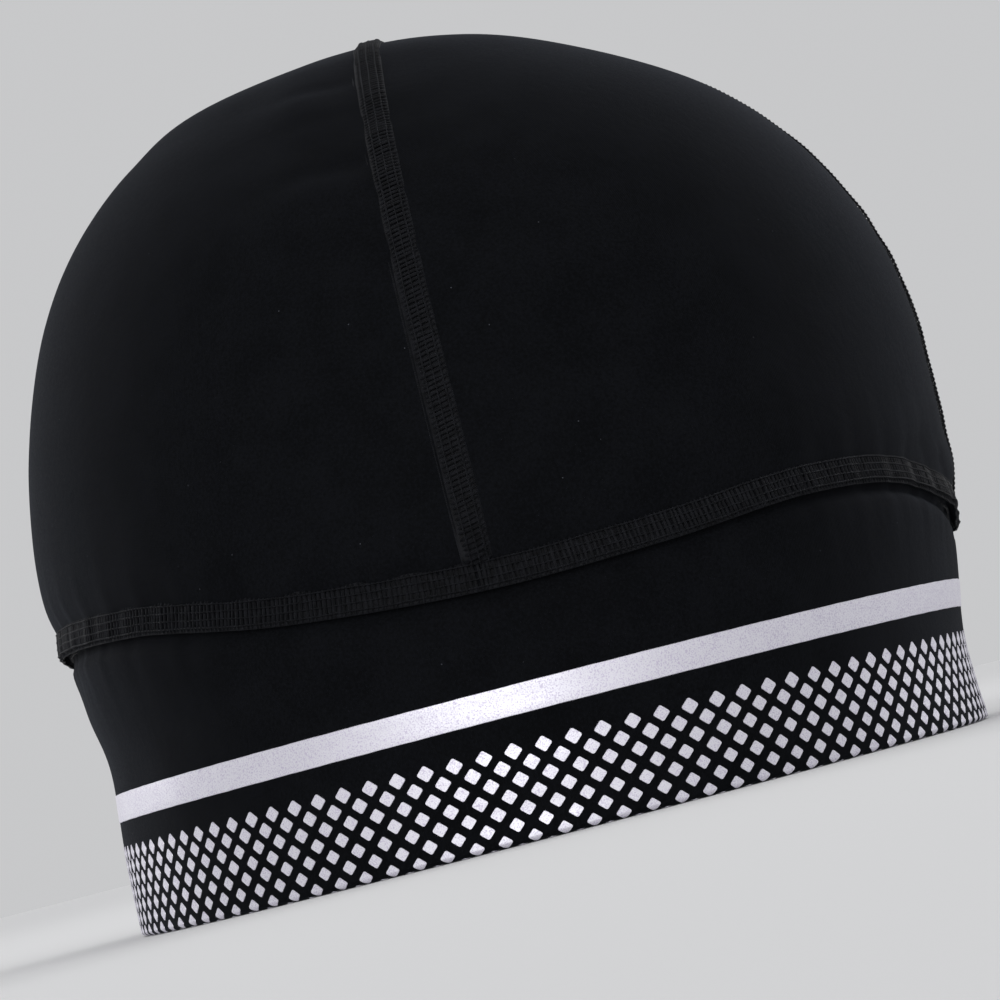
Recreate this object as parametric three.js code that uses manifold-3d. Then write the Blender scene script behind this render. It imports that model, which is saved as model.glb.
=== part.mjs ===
// A close-fitting running beanie: four crown panels, flatlock seams and a band with a turned-up hem.
// Millimetres, +Z up. The front faces -Y and the flattened hem lies on the plane z = 0.
import * as THREE from 'three';
import Module from 'manifold-3d';
import { mergeVertices } from 'three/addons/utils/BufferGeometryUtils.js';

const wasm = await Module();
wasm.setup();

// Sizes of the whole hat, measured to the outer face of the cloth
const hatHeight = 144;
const halfWidth = 81.5;
const halfLength = 96.5;
const sectionFullness = 2.15;

// Cloth, hem and seams
const clothWall = 1.2;
const hemLayer = 1.0;
const hemHeight = 8.6;
const bandHeight = 44;
const foldRound = 0.9;
const foldInset = 0.6;
const hemEdge = 0.3;
const seamWidth = 5.4;
const seamRise = 0.5;
const seamSlot = 1.6;
const seamPinch = 1.1;
const pinchSpread = 4.5;
const clearance = 0.3;
const hemLift = 0.8;

// Reflective stripe
const stripeHeight = 4.8;
const stripeMiddle = 22.7;
const filmThickness = 0.3;

// Mesh fineness
const turns = 52;
const crownRows = 12;
const bandRows = 5;

// Sections of the hat: level is a share of the height, left and right are shares of the half width,
// front and back are shares of the half length.
const FORM = [
  { level: 0.0, left: 0.97, right: 0.935, front: 0.975, back: 0.965 },
  { level: 0.1, left: 0.962, right: 0.93, front: 0.985, back: 0.97 },
  { level: 0.205, left: 0.948, right: 0.96, front: 0.996, back: 0.978 },
  { level: 0.28, left: 0.97, right: 0.988, front: 1.0, back: 0.987 },
  { level: 0.385, left: 1.0, right: 1.0, front: 1.0, back: 1.0 },
  { level: 0.525, left: 0.985, right: 0.998, front: 0.955, back: 0.992 },
  { level: 0.64, left: 0.938, right: 0.95, front: 0.9, back: 0.95 },
  { level: 0.75, left: 0.86, right: 0.848, front: 0.81, back: 0.87 },
  { level: 0.84, left: 0.752, right: 0.702, front: 0.69, back: 0.76 },
  { level: 0.915, left: 0.605, right: 0.49, front: 0.54, back: 0.61 },
  { level: 0.968, left: 0.42, right: 0.27, front: 0.36, back: 0.42 },
  { level: 1.0, left: 0.0, right: 0.0, front: 0.0, back: 0.0 },
];

// Height of the band seam round the hat: turn runs in degrees from the front towards +X,
// height is a share of the band height.
const BAND_LINE = [
  { turn: -180, height: 1.0 },
  { turn: -135, height: 1.1 },
  { turn: -90, height: 1.19 },
  { turn: -65, height: 1.21 },
  { turn: -40, height: 1.17 },
  { turn: -20, height: 1.05 },
  { turn: 0, height: 0.985 },
  { turn: 18, height: 1.0 },
  { turn: 35, height: 1.05 },
  { turn: 52, height: 1.03 },
  { turn: 72, height: 0.92 },
  { turn: 90, height: 0.83 },
  { turn: 135, height: 0.91 },
];

// Main soft folds: turn and width in degrees, level and reach as shares of the height,
// slant in degrees of turn for each share of height, rise as a share of the cloth wall.
const FOLDS = [
  { turn: -13, level: 0.9, width: 7, reach: 0.05, slant: -60, rise: 0.9 },
  { turn: -10, level: 0.78, width: 6, reach: 0.05, slant: -50, rise: 0.8 },
  { turn: 12, level: 0.62, width: 8, reach: 0.07, slant: 40, rise: 0.7 },
  { turn: 76, level: 0.3, width: 7, reach: 0.035, slant: 120, rise: 1.0 },
  { turn: 64, level: 0.34, width: 6, reach: 0.03, slant: 150, rise: -0.7 },
  { turn: -70, level: 0.33, width: 12, reach: 0.04, slant: 30, rise: -0.8 },
  { turn: -84, level: 0.46, width: 16, reach: 0.06, slant: 0, rise: 0.35 },
];

const fullTurn = Math.PI * 2;
const toDegrees = 180 / Math.PI;

// Smooth curve value through four neighbouring entries
function between(before, from, to, after, share) {
  const square = share * share;
  const cube = square * share;
  return 0.5 * (2 * from + (to - before) * share
    + (2 * before - 5 * from + 4 * to - after) * square
    + (3 * from - before - 3 * to + after) * cube);
}

// One column of the section table at a place counted in rows from the rim
function formColumn(column, place) {
  const last = FORM.length - 1;
  const row = Math.min(Math.floor(place), last - 1);
  const beyond = column === 'level' ? FORM[last - 1].level : -FORM[last - 1][column];
  const value = (index) => (index > last ? beyond : FORM[Math.max(index, 0)][column]);
  return between(value(row - 1), value(row), value(row + 1), value(row + 2), place - row);
}

// Place in the section table that has a given height
function placeAtHeight(height) {
  let low = 0;
  let high = FORM.length - 1;
  for (let step = 0; step < 40; step += 1) {
    const middle = (low + high) / 2;
    if (formColumn('level', middle) * hatHeight < height) low = middle;
    else high = middle;
  }
  return (low + high) / 2;
}

// Horizontal distance from the axis to the cloth at a turn and a place in the table
function radiusAt(turn, place) {
  const across = Math.sin(turn);
  const along = Math.cos(turn);
  const sideReach = halfWidth * formColumn(across < 0 ? 'left' : 'right', place);
  const endReach = halfLength * formColumn(along > 0 ? 'front' : 'back', place);
  const sideShare = (Math.abs(across) / sideReach) ** sectionFullness;
  const endShare = (Math.abs(along) / endReach) ** sectionFullness;
  return (sideShare + endShare) ** (-1 / sectionFullness);
}

// Point of the smooth form at a turn and a place in the table
function formPoint(turn, place) {
  const last = FORM.length - 1;
  const radius = place >= last ? 0 : radiusAt(turn, place);
  return new THREE.Vector3(
    radius * Math.sin(turn),
    -radius * Math.cos(turn),
    formColumn('level', place) * hatHeight,
  );
}

// Outward direction of the smooth form
function formNormal(turn, place) {
  const step = 0.001;
  const last = FORM.length - 1;
  if (place > last - step) return new THREE.Vector3(0, 0, 1);
  const around = formPoint(turn + step, place).sub(formPoint(turn - step, place));
  const upward = formPoint(turn, place + step).sub(formPoint(turn, Math.max(place - step, 0)));
  return around.cross(upward).normalize();
}

// Height of the middle of the band seam at a turn
function bandLine(turn) {
  const degrees = ((((turn * toDegrees + 180) % 360) + 360) % 360) - 180;
  const count = BAND_LINE.length;
  let row = 0;
  while (row < count - 1 && BAND_LINE[row + 1].turn <= degrees) row += 1;
  const value = (index) => BAND_LINE[(index + count) % count].height;
  const end = row + 1 < count ? BAND_LINE[row + 1].turn : 180;
  const share = (degrees - BAND_LINE[row].turn) / (end - BAND_LINE[row].turn);
  return bandHeight * between(value(row - 1), value(row), value(row + 1), value(row + 2), share);
}

// Soft folds of the cloth and the pull of the band seam, as a distance along the outward direction
function relief(turn, height) {
  const fromSeam = (height - bandLine(turn)) / pinchSpread;
  let sum = -seamPinch * Math.exp(-fromSeam * fromSeam);
  for (const fold of FOLDS) {
    const rise = height / hatHeight - fold.level;
    const away = turn * toDegrees - fold.turn - fold.slant * rise;
    const wrapped = ((((away + 180) % 360) + 360) % 360) - 180;
    sum += fold.rise * clothWall * Math.exp(-((wrapped / fold.width) ** 2) - (rise / fold.reach) ** 2);
  }
  return sum;
}

// Point at a distance outside the cloth's outer face, on the crown
function crownPoint(turn, place, offset) {
  const point = formPoint(turn, place);
  const rise = relief(turn, point.z);
  return point.addScaledVector(formNormal(turn, place), rise + offset);
}

// Point at a height and a level distance outside the cloth's outer face, on the band
function bandPoint(turn, height, offset) {
  const place = placeAtHeight(height);
  const point = formPoint(turn, place);
  const outward = formNormal(turn, place).setZ(0).normalize();
  point.addScaledVector(outward, relief(turn, height) + offset);
  return point.setZ(height);
}

// Solid from a list of points and triangles
function solidFrom(points, triangles) {
  const geometry = new THREE.BufferGeometry();
  const positions = points.flatMap((point) => point.toArray());
  geometry.setAttribute('position', new THREE.Float32BufferAttribute(positions, 3));
  geometry.setIndex(triangles);
  return solidFromGeometry(geometry);
}

// Solid from a closed three.js geometry
function solidFromGeometry(source) {
  const geometry = source.clone();
  geometry.deleteAttribute('normal');
  geometry.deleteAttribute('uv');
  const merged = mergeVertices(geometry, 1e-5);
  const mesh = new wasm.Mesh({
    numProp: 3,
    vertProperties: new Float32Array(merged.attributes.position.array),
    triVerts: new Uint32Array(merged.index.array),
  });
  return new wasm.Manifold(mesh);
}

// Three.js geometry from a solid
function geometryFrom(solid) {
  const mesh = solid.getMesh();
  const geometry = new THREE.BufferGeometry();
  const positions = new Float32Array(mesh.numVert * 3);
  for (let vertex = 0; vertex < mesh.numVert; vertex += 1) {
    for (let axis = 0; axis < 3; axis += 1) {
      positions[vertex * 3 + axis] = mesh.vertProperties[vertex * mesh.numProp + axis];
    }
  }
  geometry.setAttribute('position', new THREE.BufferAttribute(positions, 3));
  geometry.setIndex(Array.from(mesh.triVerts));
  geometry.computeVertexNormals();
  return geometry;
}

// Block with its centre at a point
function block(width, length, height, x, y, z) {
  const geometry = new THREE.BoxGeometry(width, length, height);
  geometry.translate(x, y, z);
  return solidFromGeometry(geometry);
}

// Places of the crown's rows at a turn: even steps from above the band seam to the top,
// and for the panels one more row at their lower edge
function crownPlaces(turn, withEdge) {
  const last = FORM.length - 1;
  const start = placeAtHeight(bandLine(turn) + seamWidth / 2 + clearance);
  const places = withEdge ? [placeAtHeight(bandLine(turn) + seamSlot / 2)] : [];
  for (let row = 0; row < crownRows; row += 1) places.push(start + ((last - start) * row) / crownRows);
  return places;
}

// Closed shell of the crown between two distances from its outer face
function crownShell(outer, inner, withEdge) {
  const points = [];
  const triangles = [];
  const rows = crownPlaces(0, withEdge).length;
  for (const offset of [outer, inner]) {
    const columns = [];
    for (let step = 0; step < turns; step += 1) {
      const turn = (fullTurn * step) / turns;
      columns.push(crownPlaces(turn, withEdge).map((place) => crownPoint(turn, place, offset)));
    }
    for (let row = 0; row < rows; row += 1) points.push(...columns.map((column) => column[row]));
    points.push(crownPoint(0, FORM.length - 1, offset));
  }
  const layer = rows * turns + 1;
  const index = (side, row, step) => side * layer + row * turns + (step % turns);
  for (let step = 0; step < turns; step += 1) {
    for (let row = 0; row < rows - 1; row += 1) {
      const out = [[row, step], [row, step + 1], [row + 1, step + 1], [row + 1, step]]
        .map(([level, place]) => index(0, level, place));
      triangles.push(out[0], out[1], out[2], out[0], out[2], out[3]);
      const into = out.map((corner) => corner + layer);
      triangles.push(into[0], into[2], into[1], into[0], into[3], into[2]);
    }
    triangles.push(index(0, rows - 1, step), index(0, rows - 1, step + 1), layer - 1);
    triangles.push(index(1, rows - 1, step), 2 * layer - 1, index(1, rows - 1, step + 1));
    triangles.push(index(0, 0, step), index(1, 0, step), index(1, 0, step + 1));
    triangles.push(index(0, 0, step), index(1, 0, step + 1), index(0, 0, step + 1));
  }
  return solidFrom(points, triangles);
}

// Closed loop of a section swept right round the hat; the section is listed anticlockwise
// seen with the outside of the hat on the right and up at the top
function ring(sectionAt) {
  const points = [];
  const triangles = [];
  const count = sectionAt(0).length;
  for (let step = 0; step < turns; step += 1) {
    const turn = (fullTurn * step) / turns;
    for (const corner of sectionAt(turn)) points.push(bandPoint(turn, corner.height, corner.offset));
  }
  const index = (step, corner) => (step % turns) * count + (corner % count);
  for (let step = 0; step < turns; step += 1) {
    for (let corner = 0; corner < count; corner += 1) {
      const here = index(step, corner);
      const next = index(step, corner + 1);
      const beyond = index(step + 1, corner + 1);
      const beside = index(step + 1, corner);
      triangles.push(here, beside, beyond, here, beyond, next);
    }
  }
  return solidFrom(points, triangles);
}

// Heights of the band's rows above the hem, up to the lower edge of the band seam
function bandHeights(turn) {
  const low = hemHeight + hemEdge;
  const high = bandLine(turn) - seamWidth / 2 - clearance;
  return Array.from({ length: bandRows + 1 }, (_, row) => low + ((high - low) * row) / bandRows);
}

// Section of the band: flattened fold, outer face, inner face and turned-up hem
function bandSection(turn) {
  const heights = [...bandHeights(turn), bandLine(turn) - seamSlot / 2];
  const depth = clothWall + hemLayer;
  return [
    { offset: -foldInset, height: 0 },
    { offset: 0, height: foldRound },
    ...heights.map((height) => ({ offset: 0, height })),
    ...heights.reverse().map((height) => ({ offset: -clothWall, height })),
    { offset: -depth, height: hemHeight - hemEdge },
    { offset: -depth, height: foldRound },
    { offset: foldInset - depth, height: 0 },
  ];
}

// Section of the seam between crown and band: a raised strip on each face and the joined edges between
function bandSeamSection(turn) {
  const middle = bandLine(turn);
  const half = seamWidth / 2;
  const edge = seamSlot / 2 - clearance;
  const near = clearance;
  const far = clearance + seamRise;
  return [
    { offset: near, height: middle + edge },
    { offset: -clothWall - near, height: middle + edge },
    { offset: -clothWall - near, height: middle + half },
    { offset: -clothWall - far, height: middle + half },
    { offset: -clothWall - far, height: middle - half },
    { offset: -clothWall - near, height: middle - half },
    { offset: -clothWall - near, height: middle - edge },
    { offset: near, height: middle - edge },
    { offset: near, height: middle - half },
    { offset: far, height: middle - half },
    { offset: far, height: middle + half },
    { offset: near, height: middle + half },
  ];
}

// Section of the reflective stripe, a thin film just outside the band
function stripeSection() {
  const half = stripeHeight / 2;
  return [
    { offset: clearance, height: stripeMiddle - half },
    { offset: clearance + filmThickness, height: stripeMiddle - half },
    { offset: clearance + filmThickness, height: stripeMiddle + half },
    { offset: clearance, height: stripeMiddle + half },
  ];
}

// Slab through the axis that a seam over the crown lies in
function seamSlab(width, acrossTheFront) {
  const reach = 2 * (halfWidth + halfLength + hatHeight);
  return acrossTheFront ? block(width, reach, reach, 0, 0, 0) : block(reach, width, reach, 0, 0, 0);
}

// A whole seam over the crown: raised strips outside and inside, with the joined edges between
function crownSeam(acrossTheFront) {
  const near = clearance;
  const far = clearance + seamRise;
  const wide = seamSlab(seamWidth, acrossTheFront);
  const thin = seamSlab(seamSlot - 2 * clearance, acrossTheFront);
  const outside = crownShell(far, near, false).intersect(wide);
  const inside = crownShell(-clothWall - near, -clothWall - far, false).intersect(wide);
  const middle = crownShell(far, -clothWall - far, false).intersect(thin);
  return middle.add(outside).add(inside);
}

// Solid with four corners at each of several heights, listed anticlockwise seen from above
function upright(heights, cornersAt) {
  const points = heights.flatMap((height) => (
    cornersAt(height).map(([x, y]) => new THREE.Vector3(x, y, height))));
  const triangles = [];
  const top = (heights.length - 1) * 4;
  for (let here = 0; here < top; here += 4) {
    for (let corner = 0; corner < 4; corner += 1) {
      const next = (corner + 1) % 4;
      triangles.push(here + corner, here + next, here + 4 + next);
      triangles.push(here + corner, here + 4 + next, here + 4 + corner);
    }
  }
  triangles.push(0, 2, 1, 0, 3, 2, top, top + 1, top + 2, top, top + 2, top + 3);
  return solidFrom(points, triangles);
}

// Seam that closes the band at the back: a raised strip on each face and the joined edges between
function bandJoinSeam() {
  const hemTop = hemHeight + hemEdge + clearance;
  const heights = [hemLift, hemTop, hemTop + clearance, ...bandHeights(Math.PI).slice(1)];
  const outerFace = (height) => bandPoint(Math.PI, height, 0).y;
  const innerFace = (height) => outerFace(height) - clothWall - (height > hemTop ? 0 : hemLayer);
  const bar = (half, from, to) => upright(heights, (height) => {
    const low = from(height);
    const high = to(height);
    return [[-half, low], [half, low], [half, high], [-half, high]];
  });
  const far = clearance + seamRise;
  const outside = bar(seamWidth / 2, (h) => outerFace(h) + clearance, (h) => outerFace(h) + far);
  const inside = bar(seamWidth / 2, (h) => innerFace(h) - far, (h) => innerFace(h) - clearance);
  const middle = bar(seamSlot / 2 - clearance, (h) => innerFace(h) - far, (h) => outerFace(h) + far);
  return middle.add(outside).add(inside);
}

// Block behind the axis, as wide as a seam and tall enough to cut the band's back
function backCut(width) {
  return block(width, halfLength, 2 * hatHeight, 0, halfLength, hatHeight / 2);
}

// Quarter of the space round the axis, kept clear of the seam slots
function quarter(toRight, toFront) {
  const size = halfWidth + halfLength + hatHeight;
  const middle = (size + seamSlot) / 2;
  return block(size, size, 2 * size, toRight * middle, -toFront * middle, 0);
}

// Half of the space beside the seam that runs over the top
function sideOfTopSeam(toRight) {
  const size = halfWidth + halfLength + hatHeight;
  const middle = (size + seamWidth) / 2 + clearance;
  return block(size, size, 2 * size, toRight * middle, 0, 0);
}

const jersey = { color: 0x101114, roughness: 0.85, metalness: 0 };
const thread = { color: 0x17181b, roughness: 0.6, metalness: 0 };
const film = { color: 0xcfccda, roughness: 0.45, metalness: 0.1 };

const hat = new THREE.Group();

// Adds one named piece with its own material
function addPiece(name, solid, finish) {
  const mesh = new THREE.Mesh(geometryFrom(solid), new THREE.MeshStandardMaterial(finish));
  mesh.name = name;
  hat.add(mesh);
}

const crown = crownShell(0, -clothWall, true);
addPiece('crown_front_left', crown.intersect(quarter(-1, 1)), jersey);
addPiece('crown_front_right', crown.intersect(quarter(1, 1)), jersey);
addPiece('crown_back_left', crown.intersect(quarter(-1, -1)), jersey);
addPiece('crown_back_right', crown.intersect(quarter(1, -1)), jersey);

const sideSeams = crownSeam(false);
addPiece('front_back_seam', crownSeam(true), thread);
addPiece('left_seam', sideSeams.intersect(sideOfTopSeam(-1)), thread);
addPiece('right_seam', sideSeams.intersect(sideOfTopSeam(1)), thread);

addPiece('band', ring(bandSection).subtract(backCut(seamSlot)), jersey);
addPiece('band_seam', ring(bandSeamSection), thread);
addPiece('band_join_seam', bandJoinSeam(), thread);
addPiece('reflective_stripe', ring(stripeSection).subtract(backCut(seamWidth + 2 * clearance)), film);

export default hat;
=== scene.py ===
"""Dresses a running beanie: knit crown and band, flatlock seams and a reflective print.

Lengths are in metres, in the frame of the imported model. The front faces -Y and the hem lies on z = 0.
"""
import logging
import math
from dataclasses import dataclass
from enum import Enum
from typing import Callable, NamedTuple, Sequence

import bpy
import numpy as np
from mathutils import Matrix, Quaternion, Vector


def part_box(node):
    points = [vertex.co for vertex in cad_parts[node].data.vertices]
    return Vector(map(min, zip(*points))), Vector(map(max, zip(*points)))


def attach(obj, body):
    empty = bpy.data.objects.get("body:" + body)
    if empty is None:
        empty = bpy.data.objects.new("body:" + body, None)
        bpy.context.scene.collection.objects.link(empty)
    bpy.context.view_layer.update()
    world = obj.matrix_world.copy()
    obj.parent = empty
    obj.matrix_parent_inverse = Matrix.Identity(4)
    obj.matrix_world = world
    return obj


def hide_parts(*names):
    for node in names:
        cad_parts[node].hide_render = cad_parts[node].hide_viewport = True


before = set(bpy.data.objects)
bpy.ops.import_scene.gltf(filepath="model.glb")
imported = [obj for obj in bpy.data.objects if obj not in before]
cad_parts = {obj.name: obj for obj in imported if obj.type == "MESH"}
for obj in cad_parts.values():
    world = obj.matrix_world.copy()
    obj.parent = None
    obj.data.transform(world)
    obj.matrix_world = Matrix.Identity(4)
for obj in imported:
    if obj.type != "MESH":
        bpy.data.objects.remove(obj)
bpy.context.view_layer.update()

MM = 0.001
BODY = "root"

# Samples of the section table, to find its widest row and to find the place of a height
COARSE_PLACES = 400
FINE_PLACES = 4001

# Least lengths that keep divisions safe
SMALLEST_LENGTH = 1e-12
SMALLEST_RADIUS = 1e-7
SMALLEST_SPAN = 1e-6

# Where the film's faces meet at a sharper turn than this, their edge stays crisp
FILM_EDGE = math.radians(28)

# Range that a soft noise mostly fills
NOISE_RANGE = (0.3, 0.7)

log = logging.getLogger("beanie")


class Section(NamedTuple):
    """One level of the hat, in shares of its height, half width and half length."""

    level: float
    left: float
    right: float
    front: float
    back: float


class LinePoint(NamedTuple):
    """Height of the band seam at a turn in degrees from the front, as a share of the band height."""

    turn: float
    height: float


class Fold(NamedTuple):
    """A soft fold: turn, width and slant in degrees, level and reach in shares of the height."""

    turn: float
    level: float
    width: float
    reach: float
    slant: float
    rise: float


class Ripple(NamedTuple):
    """A sine that can waver: its lengths are runs for one radian."""

    length: float
    weight: float = 1.0
    phase: float = 0.0
    waver: float = 0.0
    waver_length: float = 1.0


class EdgePoint(NamedTuple):
    """A point of the turned-up hem's edge: distance in from the band's inside, and rise over the hem."""

    inward: float
    rise: float


SECTIONS = (
    Section(0.0, 0.97, 0.935, 0.975, 0.965),
    Section(0.1, 0.962, 0.93, 0.985, 0.97),
    Section(0.205, 0.948, 0.96, 0.996, 0.978),
    Section(0.28, 0.97, 0.988, 1.0, 0.987),
    Section(0.385, 1.0, 1.0, 1.0, 1.0),
    Section(0.525, 0.985, 0.998, 0.955, 0.992),
    Section(0.64, 0.938, 0.95, 0.9, 0.95),
    Section(0.75, 0.86, 0.848, 0.81, 0.87),
    Section(0.84, 0.752, 0.702, 0.69, 0.76),
    Section(0.915, 0.605, 0.49, 0.54, 0.61),
    Section(0.968, 0.42, 0.27, 0.36, 0.42),
    Section(1.0, 0.0, 0.0, 0.0, 0.0),
)

BAND_LINE = (
    LinePoint(-180, 1.0),
    LinePoint(-135, 1.1),
    LinePoint(-90, 1.19),
    LinePoint(-65, 1.21),
    LinePoint(-40, 1.17),
    LinePoint(-20, 1.05),
    LinePoint(0, 0.985),
    LinePoint(18, 1.0),
    LinePoint(35, 1.05),
    LinePoint(52, 1.03),
    LinePoint(72, 0.92),
    LinePoint(90, 0.83),
    LinePoint(135, 0.91),
)

MAIN_FOLDS = (
    Fold(-13, 0.9, 7, 0.05, -60, 0.9),
    Fold(-10, 0.78, 6, 0.05, -50, 0.8),
    Fold(12, 0.62, 8, 0.07, 40, 0.7),
    Fold(76, 0.3, 7, 0.035, 120, 1.0),
    Fold(64, 0.34, 6, 0.03, 150, -0.7),
    Fold(-70, 0.33, 12, 0.04, 30, -0.8),
    Fold(-84, 0.46, 16, 0.06, 0, 0.35),
)

CREASES = (
    Fold(-10, 0.915, 9, 0.009, 60, -0.3),
    Fold(-9, 0.87, 8, 0.010, 80, -0.22),
    Fold(-8, 0.80, 7, 0.010, 100, -0.3),
    Fold(-7, 0.755, 6, 0.012, 60, -0.2),
    Fold(8, 0.69, 6, 0.011, -90, -0.25),
    Fold(7, 0.60, 5, 0.012, -70, -0.18),
    Fold(-6, 0.52, 5, 0.013, 60, -0.15),
    Fold(80, 0.275, 5, 0.010, 200, -0.4),
    Fold(72, 0.315, 5, 0.010, 220, -0.35),
    Fold(62, 0.335, 6, 0.012, 240, -0.25),
    Fold(-60, 0.385, 7, 0.012, -160, -0.25),
    Fold(150, 0.36, 7, 0.012, 150, -0.3),
    Fold(-155, 0.37, 7, 0.012, -150, -0.3),
    Fold(168, 0.82, 6, 0.011, 80, -0.25),
    Fold(-169, 0.7, 6, 0.012, -80, -0.2),
    Fold(-27, 0.15, 4, 0.045, 40, -0.3),
    Fold(-44, 0.15, 5, 0.05, -20, 0.3),
    Fold(9, 0.17, 5, 0.04, -60, -0.2),
    Fold(118, 0.16, 6, 0.045, 30, -0.25),
)

TOP_PUCKERS = (Ripple(1.7, waver=2.0, waver_length=9.0), Ripple(1.05, weight=0.6, phase=1.3))
SIDE_PUCKERS = (Ripple(1.9, phase=2.0, waver=1.1, waver_length=7.0), Ripple(1.2, weight=0.5))
BAND_PLEATS = (Ripple(1 / 1.05, waver=1.5, waver_length=17.0), Ripple(1 / 1.9, weight=0.5, phase=0.7))
FILM_WANDER = (Ripple(1 / 61), Ripple(1 / 137, weight=0.6, phase=1.0))

HEM_EDGE = (
    EdgePoint(0.9 * MM, 0.0),
    EdgePoint(0.5 * MM, 0.25 * MM),
    EdgePoint(0.1 * MM, 0.3 * MM),
    EdgePoint(0.0, 0.7 * MM),
)


def spline(values: np.ndarray, place: np.ndarray) -> np.ndarray:
    """Gives a smooth curve through values that has one spare value before the first and after the last.

    Args:
        values: the curve's own values with the two spare ones.
        place: places on the curve, counted in values from the first own one.

    Returns:
        The curve at those places.
    """
    row = np.clip(np.floor(place).astype(int), 0, len(values) - 4)
    share = place - row
    before, start, end, after = (values[row + step] for step in range(4))
    slope = end - before
    bend = 2 * before - 5 * start + 4 * end - after
    twist = 3 * start - before - 3 * end + after
    return 0.5 * (2 * start + slope * share + bend * share**2 + twist * share**3)


def wrap_degrees(angle: np.ndarray) -> np.ndarray:
    """Gives the same angle between -180 and 180 degrees."""
    return (angle + 180) % 360 - 180


def unit(vectors: np.ndarray) -> np.ndarray:
    """Gives the vectors scaled to a length of one."""
    return vectors / np.maximum(np.linalg.norm(vectors, axis=-1, keepdims=True), SMALLEST_LENGTH)


def ripples(table: Sequence[Ripple], run: np.ndarray) -> np.ndarray:
    """Gives the sum of a table of ripples at places along a run.

    Args:
        table: the ripples.
        run: places along the run, in the unit of the ripples' lengths.

    Returns:
        The sum at each place.
    """
    total = 0.0 * run
    for ripple in table:
        waver = ripple.waver * np.sin(run / ripple.waver_length)
        total = total + ripple.weight * np.sin(run / ripple.length + waver + ripple.phase)
    return total


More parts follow.
